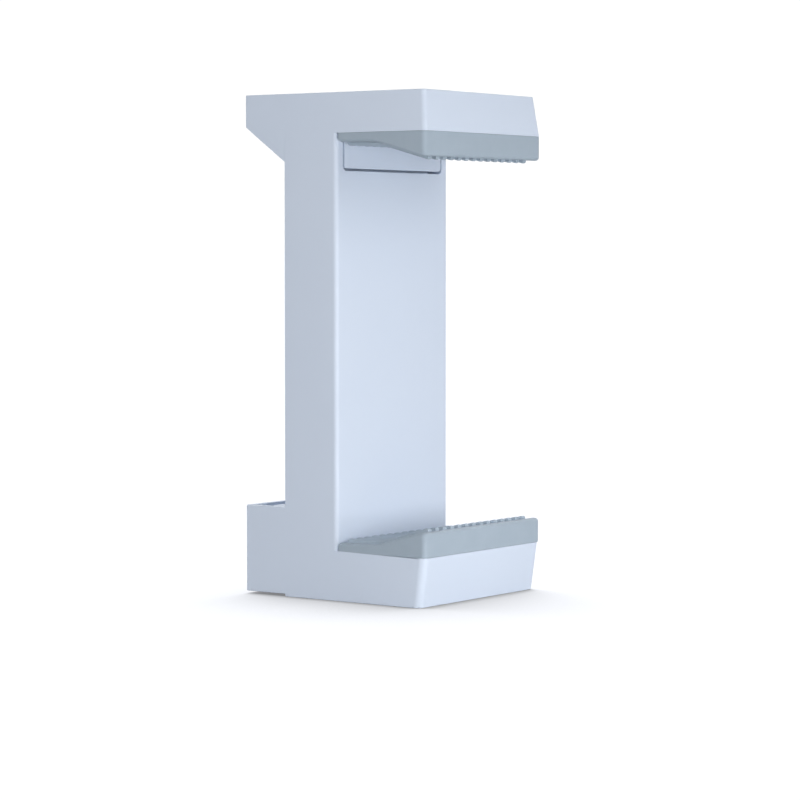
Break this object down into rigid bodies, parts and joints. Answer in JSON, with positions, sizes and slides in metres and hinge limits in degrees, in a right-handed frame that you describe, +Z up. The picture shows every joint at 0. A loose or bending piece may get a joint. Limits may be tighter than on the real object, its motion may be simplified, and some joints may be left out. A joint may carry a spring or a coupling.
{
  "type": "tripod phone clip",
  "caption": "C-shaped phone clip for a tripod: a sprung upper jaw slides on a hollow column, with ribbed rubber pads and threaded inserts.",
  "frame": {"origin": "centre of the tripod thread's mouth, on the flat bottom face", "axes": "+Z up along the column, in the way the upper jaw opens; -Y towards the jaws' front edge; X across the clip's width"},
  "size_m": [0.0334, 0.0362, 0.08],
  "materials": {
    "white_plastic": "fine matte moulded ABS, cool white",
    "grey_rubber": "matte moulded rubber, light cyan grey",
    "steel": "zinc-plated",
    "spring_steel": "drawn wire",
    "brass": "turned"
  },
  "bodies": {
    "housing": {"body_shell": "white_plastic", "rear_cover": "white_plastic", "cover_screws": "steel", "tripod_insert": "brass", "rear_insert": "brass", "lower_pad": "grey_rubber", "lower_spring_pin": "steel", "spring_left": "spring_steel", "spring_right": "spring_steel"},
    "slider": {"upper_jaw": "white_plastic", "upper_pad": "grey_rubber", "upper_spring_pin": "steel"}
  },
  "joints": [
    {"name": "jaw_slide", "type": "slide", "parent": "housing", "child": "slider", "axis": [0, 0, 1], "range_m": [0, 0.03], "stiffness_N_per_m": 300, "springref_m": -0.02, "deforming": ["spring_left", "spring_right"]}
  ]
}
